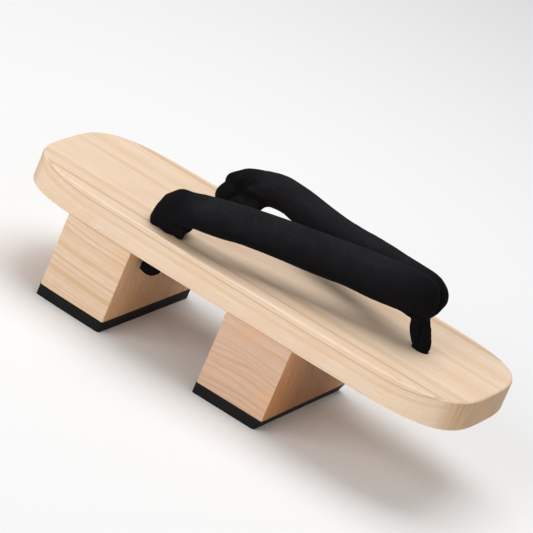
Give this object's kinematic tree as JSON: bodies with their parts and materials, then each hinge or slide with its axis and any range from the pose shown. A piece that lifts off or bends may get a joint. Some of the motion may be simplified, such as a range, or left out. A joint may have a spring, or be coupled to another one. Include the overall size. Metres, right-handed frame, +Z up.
{
  "type": "geta sandal",
  "caption": "Wooden geta sandal: a round-ended deck on block teeth with rubber soles, held by a padded cloth thong strap.",
  "frame": {"origin": "on the ground plane, under the middle of the deck", "axes": "+X toward the toe, +Y toward the wearer's left, +Z up"},
  "size_m": [0.24, 0.0874, 0.0902],
  "materials": {
    "deck_wood": "pale straight-grained softwood, planed and sanded, unvarnished",
    "tooth_wood": "slightly darker softwood block, planed, unvarnished",
    "rubber": "matte black foam rubber",
    "cloth": "matte black brushed cloth over soft padding"
  },
  "bodies": {
    "root": {"deck": "deck_wood", "heel_tooth": "tooth_wood", "front_tooth": "tooth_wood", "heel_sole": "rubber", "front_sole": "rubber", "strap": "cloth", "rear_knot_right": "cloth", "rear_knot_left": "cloth", "front_knot": "cloth"}
  },
  "joints": []
}
